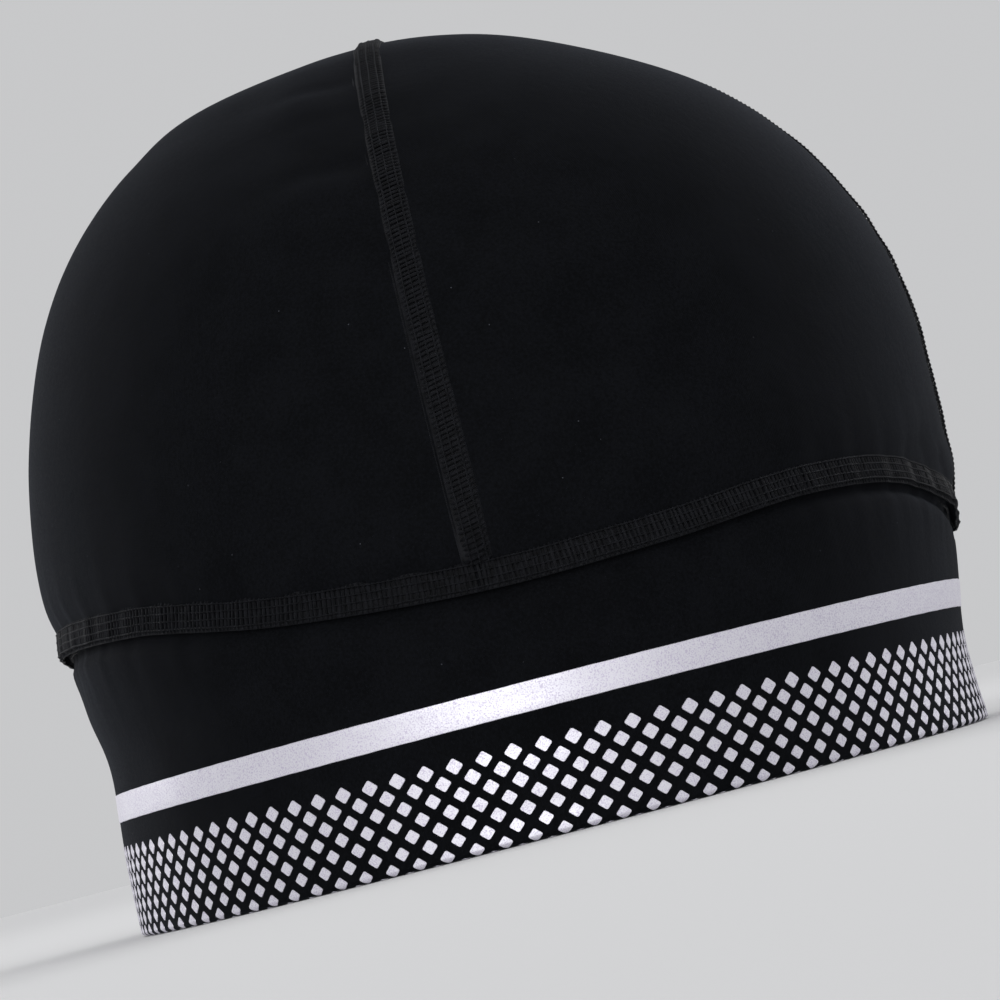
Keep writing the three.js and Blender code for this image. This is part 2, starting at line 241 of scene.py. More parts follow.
@dataclass(frozen=True)
class HatForm:
    """The smooth outer face of the hat, worked out from the frame's boxes and the section tables."""

    height: float
    half_width: float
    half_length: float
    band_height: float
    seam_width: float
    fullness: float = 2.15
    wall: float = 1.2 * MM
    hem_layer: float = 1.0 * MM
    hem_height: float = 8.6 * MM
    seam_pinch: float = 1.1 * MM
    pinch_spread: float = 4.5 * MM
    pucker: float = 0.2 * MM
    pucker_reach: float = 8 * MM
    gather: float = 0.14 * MM
    gather_reach: float = 6 * MM
    seam_share: float = 0.5
    side_share: float = 0.7
    drift_share: float = 0.35
    drift_turns: tuple = (15.0, 23.0)
    drift_runs: tuple = (18.0, 11.0)
    slope_step: float = 0.001
    flat_top: float = 0.02

    @classmethod
    def from_frame(cls) -> "HatForm":
        """Reads the sizes from the boxes of the crown, the top seam and the band seam.

        Returns:
            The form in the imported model's size.
        """
        places = np.linspace(0, len(SECTIONS) - 1, COARSE_PLACES)
        _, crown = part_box("crown_back_right")
        seam_low, seam_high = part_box("front_back_seam")
        _, ring_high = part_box("band_seam")
        seam_width = seam_high[0] - seam_low[0]
        tallest = cls._line_share(np.radians(np.arange(-180, 180, 1.0))).max()
        return cls(
            height=crown[2],
            half_width=crown[0] / cls.column("right", places).max(),
            half_length=crown[1] / cls.column("back", places).max(),
            band_height=(ring_high[2] - seam_width / 2) / tallest,
            seam_width=seam_width,
        )

    @property
    def top(self) -> int:
        """Place of the hat's top in the section table."""
        return len(SECTIONS) - 1

    @staticmethod
    def column(name: str, place: np.ndarray) -> np.ndarray:
        """Gives one column of the section table at places counted in rows from the rim.

        Args:
            name: the column.
            place: places counted in rows of the table.

        Returns:
            The column's smooth value at each place.
        """
        own = [getattr(row, name) for row in SECTIONS]
        beyond = own[-2] if name == "level" else -own[-2]
        return spline(np.array([own[0], *own, beyond]), place)

    @staticmethod
    def _line_share(turn: np.ndarray) -> np.ndarray:
        """Gives the height of the band seam as a share of the band height.

        Args:
            turn: turns round the hat, in radians from the front.

        Returns:
            The height of the band seam at each turn, in band heights.
        """
        knots = [point.turn for point in BAND_LINE] + [BAND_LINE[0].turn + 360]
        own = [point.height for point in BAND_LINE]
        place = np.interp(wrap_degrees(np.degrees(turn)), knots, np.arange(len(knots)))
        return spline(np.array([own[-1], *own, own[0], own[1]]), place)

    def band_line(self, turn: np.ndarray) -> np.ndarray:
        """Gives the height of the middle of the band seam at a turn."""
        return self.band_height * self._line_share(turn)

    def place_at(self, height: np.ndarray) -> np.ndarray:
        """Gives the place in the section table that has a given height."""
        places = np.linspace(0, self.top, FINE_PLACES)
        return np.interp(height, self.column("level", places) * self.height, places)

    def radius(self, turn: np.ndarray, place: np.ndarray) -> np.ndarray:
        """Gives the level distance from the axis to the cloth.

        Args:
            turn: turns round the hat, in radians from the front.
            place: places in the section table.

        Returns:
            The level distances.
        """
        across, along = np.sin(turn), np.cos(turn)
        side = np.where(across < 0, self.column("left", place), self.column("right", place))
        end = np.where(along > 0, self.column("front", place), self.column("back", place))
        side = np.maximum(side * self.half_width, SMALLEST_RADIUS)
        end = np.maximum(end * self.half_length, SMALLEST_RADIUS)
        total = (np.abs(across) / side) ** self.fullness + (np.abs(along) / end) ** self.fullness
        return total ** (-1 / self.fullness)

    def point(self, turn: np.ndarray, place: np.ndarray) -> np.ndarray:
        """Gives points of the smooth form.

        Args:
            turn: turns round the hat, in radians from the front.
            place: places in the section table.

        Returns:
            The points, without folds or puckers.
        """
        radius = self.radius(turn, place)
        height = self.column("level", place) * self.height
        return np.stack([radius * np.sin(turn), -radius * np.cos(turn), height + 0 * radius], axis=-1)

    def normal(self, turn: np.ndarray, place: np.ndarray) -> np.ndarray:
        """Gives the outward direction of the smooth form.

        Args:
            turn: turns round the hat, in radians from the front.
            place: places in the section table.

        Returns:
            Directions of length one.
        """
        step = self.slope_step
        inner = np.minimum(place, self.top - 2 * step)
        around = self.point(turn + step, inner) - self.point(turn - step, inner)
        upward = self.point(turn, inner + step) - self.point(turn, np.maximum(inner - step, 0))
        direction = unit(np.cross(around, upward))
        at_top = (place > self.top - self.flat_top)[..., None]
        return np.where(at_top, np.array([0.0, 0.0, 1.0]), direction)

    def folds(self, turn: np.ndarray, height: np.ndarray, table: Sequence[Fold]) -> np.ndarray:
        """Gives the rise of the folds of a table.

        Args:
            turn: turns round the hat, in radians from the front.
            height: heights of the same points.
            table: the folds.

        Returns:
            The rise of the cloth at each point.
        """
        total = np.zeros(np.broadcast(turn, height).shape)
        for fold in table:
            up = height / self.height - fold.level
            away = wrap_degrees(np.degrees(turn) - fold.turn - fold.slant * up)
            bulge = np.exp(-((away / fold.width) ** 2) - (up / fold.reach) ** 2)
            total = total + fold.rise * self.wall * bulge
        return total

    def puckers(self, turn: np.ndarray, place: np.ndarray, height: np.ndarray) -> np.ndarray:
        """Gives the small puckers along the seams over the crown and the gathers over the band seam.

        Args:
            turn: turns round the hat, in radians from the front.
            place: places in the section table.
            height: heights of the same points.

        Returns:
            The rise of the cloth at each point.
        """
        radius = self.radius(turn, place)
        from_top_seam = np.abs(radius * np.sin(turn))
        from_side_seam = np.abs(radius * np.cos(turn))
        run, around = height / MM, np.degrees(turn)
        seams = ripples(TOP_PUCKERS, run) * np.exp(-from_top_seam / self.pucker_reach)
        seams += self.side_share * ripples(SIDE_PUCKERS, run) * np.exp(-from_side_seam / self.pucker_reach)
        above = (height - self.band_line(turn)) / self.gather_reach
        gathers = ripples(BAND_PLEATS, around) * np.exp(-np.abs(above))
        drift = np.sin(around / self.drift_turns[0] + run / self.drift_runs[0])
        drift = drift * np.sin(run / self.drift_runs[1] - around / self.drift_turns[1])
        return self.pucker * (self.seam_share * seams + self.drift_share * drift) + self.gather * gathers

    def relief(self, turn: np.ndarray, place: np.ndarray, height: np.ndarray) -> np.ndarray:
        """Gives how far the cloth stands off the smooth form: seam pull, folds, creases and puckers.

        Args:
            turn: turns round the hat, in radians from the front.
            place: places in the section table.
            height: heights of the same points.

        Returns:
            The rise of the cloth at each point.
        """
        from_seam = (height - self.band_line(turn)) / self.pinch_spread
        total = -self.seam_pinch * np.exp(-(from_seam**2))
        total = total + self.folds(turn, height, MAIN_FOLDS) + self.folds(turn, height, CREASES)
        return total + self.puckers(turn, place, height)

    def crown(self, turn: np.ndarray, place: np.ndarray, offset: np.ndarray | float = 0.0) -> np.ndarray:
        """Gives points of the crown at a distance outside its outer face.

        Args:
            turn: turns round the hat, in radians from the front.
            place: places in the section table.
            offset: distance outside the outer face.

        Returns:
            The points.
        """
        points = self.point(turn, place)
        rise = self.relief(turn, place, points[..., 2]) + offset
        return points + self.normal(turn, place) * rise[..., None]

    def wall_point(
        self, turn: np.ndarray, height: np.ndarray, offset: np.ndarray | float = 0.0
    ) -> np.ndarray:
        """Gives points of the band at a level distance outside its outer face.

        Args:
            turn: turns round the hat, in radians from the front.
            height: heights of the points.
            offset: level distance outside the outer face.

        Returns:
            The points.
        """
        turn, height = np.broadcast_arrays(turn, height)
        place = self.place_at(height)
        points = self.point(turn, place)
        outward = unit(self.normal(turn, place) * np.array([1.0, 1.0, 0.0]))
        rise = self.relief(turn, place, height) + offset
        points = points + outward * rise[..., None]
        points[..., 2] = height
        return points


def add_piece(
    name: str, points: np.ndarray, faces: Sequence[np.ndarray], uv: np.ndarray
) -> bpy.types.Object:
    """Makes a smooth shaded mesh object that rides on the hat.

    Args:
        name: the piece's name.
        points: its vertices.
        faces: arrays of vertex numbers, one array for each number of corners.
        uv: one cloth coordinate for each vertex, in metres.

    Returns:
        The new object.
    """
    corners = np.concatenate([face.reshape(-1) for face in faces]).astype(np.int32)
    sizes = np.concatenate([np.full(len(face), face.shape[1]) for face in faces])
    starts = np.concatenate([[0], np.cumsum(sizes)[:-1]]).astype(np.int32)
    mesh = bpy.data.meshes.new(name)
    mesh.vertices.add(len(points))
    mesh.vertices.foreach_set("co", points.astype(np.float32).ravel())
    mesh.loops.add(len(corners))
    mesh.loops.foreach_set("vertex_index", corners)
    mesh.polygons.add(len(sizes))
    mesh.polygons.foreach_set("loop_start", starts)
    mesh.update(calc_edges=True)
    layer = mesh.uv_layers.new(name="cloth")
    layer.uv.foreach_set("vector", uv[corners].astype(np.float32).ravel())
    mesh.polygons.foreach_set("use_smooth", np.ones(len(sizes), bool))
    mesh.validate()
    piece = bpy.data.objects.new(name, mesh)
    bpy.context.scene.collection.objects.link(piece)
    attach(piece, BODY)
    return piece


def grid_faces(rows: int, columns: int, closed: bool = False, start: int = 0) -> np.ndarray:
    """Gives the four-cornered faces of a grid of points, listed row by row.

    Args:
        rows: how many rows of points.
        columns: how many points in a row.
        closed: whether the last column joins the first.
        start: number of the grid's first vertex.

    Returns:
        An array of four vertex numbers for each face.
    """
    row = np.arange(rows - 1)[:, None]
    column = np.arange(columns if closed else columns - 1)[None, :]
    after = (column + 1) % columns
    here = row * columns + column
    corners = [here, row * columns + after, (row + 1) * columns + after, here + columns]
    return start + np.stack(np.broadcast_arrays(*corners), axis=-1).reshape(-1, 4)


def shell(outer: np.ndarray, inner: np.ndarray) -> tuple[np.ndarray, list[np.ndarray]]:
    """Joins two grids of the same size into one closed sheet with a rim.

    Args:
        outer: points of the outer face, in rows and columns, seen anticlockwise from outside.
        inner: points of the inner face.

    Returns:
        The points and the faces.
    """
    rows, columns = outer.shape[:2]
    count = rows * columns
    numbers = np.arange(count).reshape(rows, columns)
    edge = np.concatenate([numbers[0, :-1], numbers[:-1, -1], numbers[-1, :0:-1], numbers[:0:-1, 0]])
    after = np.roll(edge, -1)
    rim = np.stack([after, edge, edge + count, after + count], axis=-1)
    front = grid_faces(rows, columns)
    back = grid_faces(rows, columns, start=count)[:, ::-1]
    points = np.concatenate([outer.reshape(-1, 3), inner.reshape(-1, 3)])
    return points, [front, back, rim]


def tubes(
    centre: np.ndarray, first: np.ndarray, second: np.ndarray, radius: np.ndarray, sides: int, closed: bool
) -> tuple[np.ndarray, list[np.ndarray], np.ndarray]:
    """Makes many tubes of the same kind at once.

    Args:
        centre: points along each tube, as an array of tubes, stations and 3.
        first: one direction across the tube at each station.
        second: the other direction across the tube.
        radius: the radius at each station.
        sides: how many sides a tube has.
        closed: whether each tube's last station joins its first.

    Returns:
        The points, the faces and a cloth coordinate for each point.
    """
    count, stations = centre.shape[:2]
    angle = np.linspace(0, 2 * math.pi, sides, endpoint=False)
    ring = first[:, :, None] * np.cos(angle)[None, None, :, None]
    ring = ring + second[:, :, None] * np.sin(angle)[None, None, :, None]
    points = centre[:, :, None] + ring * radius[:, :, None, None]
    rows = stations + 1 if closed else stations
    one = grid_faces(rows, sides, closed=True) % (stations * sides)
    shift = (np.arange(count) * stations * sides)[:, None, None]
    faces = [(one[None] + shift).reshape(-1, 4)]
    if not closed:
        low = np.arange(sides)[::-1]
        high = (stations - 1) * sides + np.arange(sides)
        caps = np.stack([low, high])[None] + shift
        faces.append(caps.reshape(-1, sides))
    along = np.zeros((count, stations))
    along[:, 1:] = np.cumsum(np.linalg.norm(np.diff(centre, axis=1), axis=-1), axis=1)
    around = angle[None, None, :] * radius[:, :, None]
    uv = np.stack(np.broadcast_arrays(around, along[:, :, None]), axis=-1)
    return points.reshape(-1, 3), faces, uv.reshape(-1, 2)


def joined(
    parts: Sequence[tuple[np.ndarray, list[np.ndarray], np.ndarray]]
) -> tuple[np.ndarray, list[np.ndarray], np.ndarray]:
    """Joins several sets of points, faces and cloth coordinates into one set.

    Args:
        parts: points, faces and cloth coordinates of each part.

    Returns:
        The points, faces and cloth coordinates of all of them.
    """
    points, faces, uv, start = [], [], [], 0
    for part_points, part_faces, part_uv in parts:
        points.append(part_points)
        faces.extend(face + start for face in part_faces)
        uv.append(part_uv)
        start += len(part_points)
    return np.concatenate(points), faces, np.concatenate(uv)


class Nodes:
    """A short way to write a material's nodes."""

    def __init__(self, name: str) -> None:
        """Starts a material with its principled shader.

        Args:
            name: the material's name.
        """
        self.material = bpy.data.materials.new(name)
        self.material.use_nodes = True
        self.tree = self.material.node_tree
        self.shader = self.tree.nodes["Principled BSDF"]

    def link(self, value: object, socket: bpy.types.NodeSocket) -> None:
        """Puts a number, a colour or another node's output into a socket.

        Args:
            value: what goes in.
            socket: the socket.
        """
        if isinstance(value, bpy.types.NodeSocket):
            self.tree.links.new(value, socket)
        else:
            socket.default_value = value

    def math(self, kind: str, *values: object) -> bpy.types.NodeSocket:
        """Adds a math node.

        Args:
            kind: its operation.
            values: what goes into it, in order.

        Returns:
            Its output.
        """
        node = self.tree.nodes.new("ShaderNodeMath")
        node.operation = kind
        for value, socket in zip(values, node.inputs):
            self.link(value, socket)
        return node.outputs[0]

    def blend(
        self,
        first: bpy.types.NodeSocket,
        first_share: float,
        second: bpy.types.NodeSocket,
        second_share: float,
    ) -> bpy.types.NodeSocket:
        """Adds two values, each by its share.

        Args:
            first: one value.
            first_share: what it is multiplied by.
            second: the other value.
            second_share: what that one is multiplied by.

        Returns:
            The sum.
        """
        first_part = self.math("MULTIPLY", first, first_share)
        second_part = self.math("MULTIPLY", second, second_share)
        return self.math("ADD", first_part, second_part)

    def cloth(self) -> tuple[bpy.types.NodeSocket, bpy.types.NodeSocket]:
        """Gives the two cloth coordinates, in millimetres.

        Returns:
            The coordinate across the cloth and the one up it.
        """
        source = self.tree.nodes.new("ShaderNodeUVMap")
        source.uv_map = "cloth"
        split = self.tree.nodes.new("ShaderNodeSeparateXYZ")
        self.tree.links.new(source.outputs[0], split.inputs[0])
        return self.math("DIVIDE", split.outputs[0], MM), self.math("DIVIDE", split.outputs[1], MM)

    def noise(self, size: float, detail: float = 2.0) -> bpy.types.NodeSocket:
        """Adds a soft noise of a given size on the object's own coordinates.

        Args:
            size: size of its grains.
            detail: how much finer noise it holds.

        Returns:
            The noise, from zero to one.
        """
        source = self.tree.nodes.new("ShaderNodeTexCoord")
        node = self.tree.nodes.new("ShaderNodeTexNoise")
        self.tree.links.new(source.outputs["Object"], node.inputs["Vector"])
        node.inputs["Scale"].default_value = 1 / size
        node.inputs["Detail"].default_value = detail
        return node.outputs[0]

    def specks(self, size: float, dot: float) -> bpy.types.NodeSocket:
        """Gives one in small dots scattered at a given spacing, and zero elsewhere.

        Args:
            size: spacing of the dots.
            dot: radius of a dot.

        Returns:
            The dots.
        """
        source = self.tree.nodes.new("ShaderNodeTexCoord")
        node = self.tree.nodes.new("ShaderNodeTexVoronoi")
        self.tree.links.new(source.outputs["Object"], node.inputs["Vector"])
        node.inputs["Scale"].default_value = 1 / size
        return self.math("LESS_THAN", node.outputs["Distance"], dot / size)

    def ramp(
        self, value: bpy.types.NodeSocket, low: float, high: float, to_low: float, to_high: float
    ) -> bpy.types.NodeSocket:
        """Maps a range of a value to another range, smoothly.

        Args:
            value: the value.
            low: start of its range.
            high: end of its range.
            to_low: what the start becomes.
            to_high: what the end becomes.

        Returns:
            The mapped value.
        """
        node = self.tree.nodes.new("ShaderNodeMapRange")
        node.interpolation_type = "SMOOTHSTEP"
        for number, socket in zip((value, low, high, to_low, to_high), node.inputs):
            self.link(number, socket)
        return node.outputs[0]

    def mix(self, share: object, first: Sequence[float], second: Sequence[float]) -> bpy.types.NodeSocket:
        """Mixes two colours.

        Args:
            share: share of the second colour.
            first: one colour.
            second: the other colour.

        Returns:
            The mixed colour.
        """
        node = self.tree.nodes.new("ShaderNodeMix")
        node.data_type = "RGBA"
        self.link(share, node.inputs["Factor"])
        self.link(first, node.inputs["A"])
        self.link(second, node.inputs["B"])
        return node.outputs["Result"]

    def bump(self, height: bpy.types.NodeSocket, distance: float, strength: float) -> None:
        """Adds a bump to the shader's normal, over the bump it already has.

        Args:
            height: the relief, from zero to one.
            distance: its depth.
            strength: how much of it shows.
        """
        node = self.tree.nodes.new("ShaderNodeBump")
        node.inputs["Distance"].default_value = distance
        node.inputs["Strength"].default_value = strength
        self.link(height, node.inputs["Height"])
        if self.shader.inputs["Normal"].is_linked:
            self.link(self.shader.inputs["Normal"].links[0].from_socket, node.inputs["Normal"])
        self.link(node.outputs[0], self.shader.inputs["Normal"])

    def set(self, **values: object) -> None:
        """Sets the shader's sockets by name, with _ for a space."""
        for name, value in values.items():
            self.link(value, self.shader.inputs[name.replace("_", " ")])


@dataclass(frozen=True)
class JerseyKnit:
    """Fine black jersey with upright wales, a soft sheen and a trace of lint."""

    name: str = "black_jersey"
    dark: tuple = (0.0017, 0.0019, 0.0024, 1)
    pale: tuple = (0.0042, 0.0046, 0.0058, 1)
    lint: tuple = (0.0400, 0.0420, 0.0500, 1)
    lint_spacing: float = 5 * MM
    lint_dot: float = 0.11 * MM
    wale: float = 0.36
    course: float = 0.27
    leg_slant: float = 1.3
    wale_share: float = 0.75
    loop_share: float = 0.25
    loop_depth: float = 0.035 * MM
    loop_strength: float = 0.45
    fuzz_size: float = 0.5 * MM
    fuzz_share: float = 0.7
    patch_size: float = 9 * MM
    patch_share: float = 0.3
    pile_size: float = 1.6 * MM
    pile_depth: float = 0.10 * MM
    pile_strength: float = 0.5
    roughness: tuple = (0.78, 0.95)
    gloss: float = 0.032
    sheen: float = 0.03
    sheen_roughness: float = 0.42
    sheen_tint: tuple = (0.60, 0.69, 0.90, 1)

    def material(self) -> bpy.types.Material:
        """Builds the material.

        Returns:
            The material, with its wales and courses counted in the cloth's own millimetres.
        """
        nodes = Nodes(self.name)
        across, up = nodes.cloth()
        in_wale = nodes.math("FRACT", nodes.math("DIVIDE", across, self.wale))
        slope = nodes.math("ABSOLUTE", nodes.math("SUBTRACT", in_wale, 0.5))
        course = nodes.math("DIVIDE", up, self.course)
        leg = nodes.math("ADD", course, nodes.math("MULTIPLY", slope, self.leg_slant))
        loops = nodes.math("SINE", nodes.math("MULTIPLY", leg, 2 * math.pi))
        wales = nodes.math("SINE", nodes.math("MULTIPLY", in_wale, math.pi))
        fuzz = nodes.noise(self.fuzz_size, detail=3)
        patches = nodes.noise(self.patch_size)
        tone = nodes.blend(fuzz, self.fuzz_share, patches, self.patch_share)
        colour = nodes.mix(nodes.ramp(tone, *NOISE_RANGE, 0.0, 1.0), self.dark, self.pale)
        specks = nodes.specks(self.lint_spacing, self.lint_dot)
        nodes.set(Base_Color=nodes.mix(specks, colour, self.lint))
        nodes.set(Roughness=nodes.ramp(fuzz, *NOISE_RANGE, *self.roughness))
        nodes.set(Specular_IOR_Level=self.gloss, Sheen_Weight=self.sheen)
        nodes.set(Sheen_Roughness=self.sheen_roughness, Sheen_Tint=self.sheen_tint)
        nodes.bump(nodes.noise(self.pile_size, detail=3), self.pile_depth, self.pile_strength)
        height = nodes.blend(wales, self.wale_share, loops, self.loop_share)
        nodes.bump(height, self.loop_depth, self.loop_strength)
        return nodes.material


@dataclass(frozen=True)
class SeamThread:
    """Black stitching thread with a visible twist and a satin gloss."""

    name: str = "black_thread"
    dark: tuple = (0.0023, 0.0025, 0.0032, 1)
    pale: tuple = (0.0062, 0.0066, 0.0084, 1)
    tone_size: float = 1.1 * MM
    twist: float = 0.32
    twist_depth: float = 0.05 * MM
    twist_strength: float = 0.5
    roughness: tuple = (0.62, 0.46)
    gloss: float = 0.08
    sheen: float = 0.03
    sheen_roughness: float = 0.35
    sheen_tint: tuple = (0.7, 0.75, 0.9, 1)

    def material(self) -> bpy.types.Material:
        """Builds the material.

        Returns:
            The material, with its twist counted in the thread's own millimetres.
        """
        nodes = Nodes(self.name)
        around, along = nodes.cloth()
        turn = nodes.math("DIVIDE", nodes.math("ADD", around, along), self.twist)
        strands = nodes.math("SINE", nodes.math("MULTIPLY", turn, 2 * math.pi))
        tone = nodes.ramp(nodes.noise(self.tone_size, detail=3), *NOISE_RANGE, 0.0, 1.0)
        nodes.set(Base_Color=nodes.mix(tone, self.dark, self.pale))
        nodes.set(Roughness=nodes.ramp(strands, -1.0, 1.0, *self.roughness))
        nodes.set(Specular_IOR_Level=self.gloss, Sheen_Weight=self.sheen)
        nodes.set(Sheen_Roughness=self.sheen_roughness, Sheen_Tint=self.sheen_tint)
        nodes.bump(strands, self.twist_depth, self.twist_strength)
        return nodes.material


@dataclass(frozen=True)
class ReflectiveFilm:
    """Pale reflective film made of fine glass beads, with a faint lavender grain."""

    name: str = "reflective_film"
    pale: tuple = (0.71, 0.70, 0.76, 1)
    grain: tuple = (0.53, 0.49, 0.61, 1)
    grain_range: tuple = (0.46, 0.66)
    bead_size: float = 0.24 * MM
    bead_share: float = 0.88
    bead_depth: float = 0.03 * MM
    bead_strength: float = 0.4
    cloud_size: float = 3.5 * MM
    cloud_share: float = 0.12
    roughness: tuple = (0.42, 0.6)
    metal: float = 0.6
    gloss: float = 0.6

    def material(self) -> bpy.types.Material:
        """Builds the material.

        Returns:
            The material.
        """
        nodes = Nodes(self.name)
        beads = nodes.noise(self.bead_size, detail=3)
        clouds = nodes.noise(self.cloud_size)
        tone = nodes.blend(beads, self.bead_share, clouds, self.cloud_share)
        tone = nodes.ramp(tone, *self.grain_range, 0.0, 1.0)
        nodes.set(Base_Color=nodes.mix(tone, self.pale, self.grain))
        nodes.set(Roughness=nodes.ramp(beads, *NOISE_RANGE, *self.roughness))
        nodes.set(Metallic=self.metal, Specular_IOR_Level=self.gloss)
        nodes.bump(beads, self.bead_depth, self.bead_strength)
        return nodes.material


@dataclass(frozen=True)
class StudioPaper:
    """Pale plain paper of the studio floor."""

    name: str = "studio_paper"
    colour: tuple = (0.72, 0.72, 0.725, 1)
    roughness: float = 0.9
    gloss: float = 0.1

    def material(self) -> bpy.types.Material:
        """Builds the material.

        Returns:
            The material.
        """
        nodes = Nodes(self.name)
        nodes.set(Base_Color=self.colour, Roughness=self.roughness, Specular_IOR_Level=self.gloss)
        return nodes.material


class Finish(Enum):
    """The finishes of the hat, by their slot in the record."""

    JERSEY = "jersey"
    THREAD = "seam_thread"
    FILM = "reflective_print"


class Wardrobe:
    """Holds one material for each finish."""

    def __init__(self) -> None:
        """Builds the materials."""
        self.materials = {
            Finish.JERSEY: JerseyKnit().material(),
            Finish.THREAD: SeamThread().material(),
            Finish.FILM: ReflectiveFilm().material(),
        }

    def dress(self, piece: bpy.types.Object, finish: Finish, *nodes: str) -> bpy.types.Object:
        """Gives a piece its material and slot, and hides the solids that it stands for.

        Args:
            piece: the piece.
            finish: its finish.
            nodes: names of the solids that it stands for.

        Returns:
            The same piece.
        """
        piece.data.materials.append(self.materials[finish])
        if nodes:
            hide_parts(*nodes)
        log.info("%s: %d faces", piece.name, len(piece.data.polygons))
        return piece


def sweep(grid: np.ndarray, closed: bool) -> tuple[np.ndarray, list[np.ndarray], np.ndarray]:
    """Skins a row of closed sections into one closed body.

    Args:
        grid: points as an array of stations, section points and 3; each section runs clockwise
            seen against the sweep.
        closed: whether the last station joins the first; otherwise both ends are capped.

    Returns:
        The points, the faces and a cloth coordinate for each point.
    """
    stations, count = grid.shape[:2]
    rows = stations + 1 if closed else stations
    faces = [grid_faces(rows, count, closed=True) % (stations * count)]
    if not closed:
        low = np.arange(count)[::-1]
        faces.append(np.stack([low, (stations - 1) * count + np.arange(count)]))
    steps = np.linalg.norm(np.diff(grid, axis=0), axis=-1).mean(axis=1)
    along = np.concatenate([[0.0], np.cumsum(steps)])
    steps = np.linalg.norm(np.diff(grid, axis=1), axis=-1).mean(axis=0)
    around = np.concatenate([[0.0], np.cumsum(steps)])
    uv = np.stack(np.broadcast_arrays(along[:, None], around[None, :]), axis=-1)
    return grid.reshape(-1, 3), faces, uv.reshape(-1, 2)


class Face(Enum):
    """The two faces of the cloth."""

    OUTSIDE = 1
    INSIDE = -1


@dataclass(frozen=True)
class SeamPath:
    """A line on the cloth that a seam follows, with the directions along, across and out of it."""

    line: np.ndarray
    normal: np.ndarray
    curve: np.ndarray
    closed: bool = False

    def __post_init__(self) -> None:
        """Works out the lengths and the directions along the line."""
        line = np.concatenate([self.line, self.line[:1]]) if self.closed else self.line
        steps = np.linalg.norm(np.diff(line, axis=0), axis=1)
        if self.closed:
            slope = np.roll(self.line, -1, axis=0) - np.roll(self.line, 1, axis=0)
        else:
            slope = np.gradient(self.line, axis=0)
        tangent = unit(slope)
        normal = unit(self.normal - tangent * (self.normal * tangent).sum(axis=1, keepdims=True))
        side = np.cross(tangent, normal)
        columns = np.concatenate([self.line, tangent, normal, side, self.curve[:, None]], axis=1)
        if self.closed:
            columns = np.concatenate([columns, columns[:1]])
        object.__setattr__(self, "reach", np.concatenate([[0.0], np.cumsum(steps)]))
        object.__setattr__(self, "columns", columns)

    @property
    def length(self) -> float:
        """Length of the line."""
        return float(self.reach[-1])

    def at(self, along: np.ndarray) -> tuple[np.ndarray, ...]:
        """Gives what the line is like at distances along it.

        Args:
            along: the distances.

        Returns:
            The points, tangents, normals, cross directions and sideways curvature.
        """
        along = np.asarray(along) % self.length if self.closed else np.clip(along, 0, self.length)
        parts = [np.interp(along, self.reach, column) for column in self.columns.T]
        stacked = np.stack(parts, axis=-1)
        return stacked[..., :3], stacked[..., 3:6], stacked[..., 6:9], stacked[..., 9:12], stacked[..., 12]

    def spot(self, along: np.ndarray, across: np.ndarray, lift: np.ndarray) -> np.ndarray:
        """Gives points beside the line, at a lift over the cloth.

        Args:
            along: distances along the line.
            across: distances to the side of it.
            lift: heights over the cloth.

        Returns:
            The points.
        """
        along, across, lift = np.broadcast_arrays(along, across, lift)
        line, _, normal, side, curve = self.at(along)
        return line + side * across[..., None] + normal * (lift - curve * across**2 / 2)[..., None]


